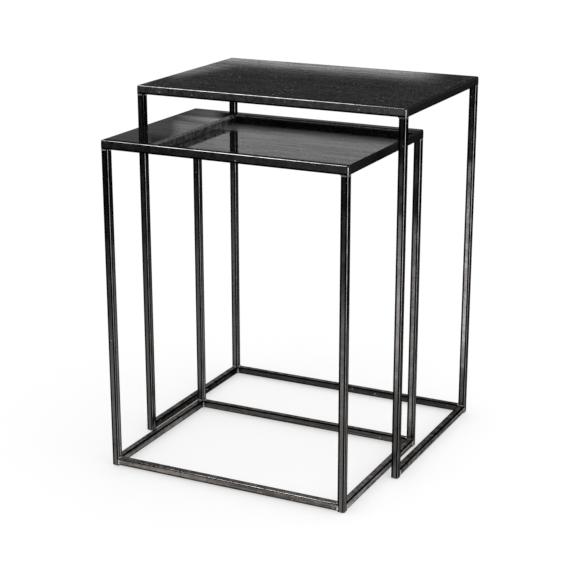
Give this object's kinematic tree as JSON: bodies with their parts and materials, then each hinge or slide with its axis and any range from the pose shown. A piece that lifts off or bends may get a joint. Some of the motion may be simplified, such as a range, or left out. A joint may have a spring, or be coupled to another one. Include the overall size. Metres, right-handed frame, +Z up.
{
  "type": "nesting tables",
  "caption": "Nesting side tables in blackened square steel tube with folded sheet tops; the smaller slides in under the larger.",
  "frame": {"origin": "on the floor, in the middle of the footprint of the pair as it stands pulled out", "axes": "+Z up; +X to the right seen from the open front; +Y from the open front to the back, which is the way the small table slides in"},
  "size_m": [0.475, 0.484, 0.61],
  "materials": {
    "top_steel": "blackened and clear lacquered, semi-gloss",
    "frame_steel": "blackened and clear lacquered, mottled",
    "base_steel": "blackened thinly and clear lacquered, warm grey-brown",
    "weld_steel": "as welded, blackened with the frame",
    "glide_plastic": "moulded, matt"
  },
  "bodies": {
    "large_table": {"large_top_sheet": "top_steel", "large_top_rail_front": "frame_steel", "large_top_rail_right": "frame_steel", "large_top_rail_back": "frame_steel", "large_top_rail_left": "frame_steel", "large_base_rail_right": "base_steel", "large_base_rail_back": "base_steel", "large_base_rail_left": "base_steel", "large_leg_front_left": "frame_steel", "large_leg_front_right": "frame_steel", "large_leg_back_right": "frame_steel", "large_leg_back_left": "frame_steel", "large_glide_front_left": "glide_plastic", "large_glide_front_right": "glide_plastic", "large_glide_back_right": "glide_plastic", "large_glide_back_left": "glide_plastic", "large_weld_beads": "weld_steel"},
    "small_table": {"small_top_sheet": "top_steel", "small_top_rail_front": "frame_steel", "small_top_rail_right": "frame_steel", "small_top_rail_back": "frame_steel", "small_top_rail_left": "frame_steel", "small_base_rail_front": "base_steel", "small_base_rail_right": "base_steel", "small_base_rail_back": "base_steel", "small_base_rail_left": "base_steel", "small_leg_front_left": "frame_steel", "small_leg_front_right": "frame_steel", "small_leg_back_right": "frame_steel", "small_leg_back_left": "frame_steel", "small_glide_front_left": "glide_plastic", "small_glide_front_right": "glide_plastic", "small_glide_back_right": "glide_plastic", "small_glide_back_left": "glide_plastic", "small_weld_beads": "weld_steel"}
  },
  "joints": [
    {"name": "nest_slide", "type": "slide", "parent": "large_table", "child": "small_table", "axis": [0, 1, 0], "range_m": [-0.2, 0.171]}
  ]
}
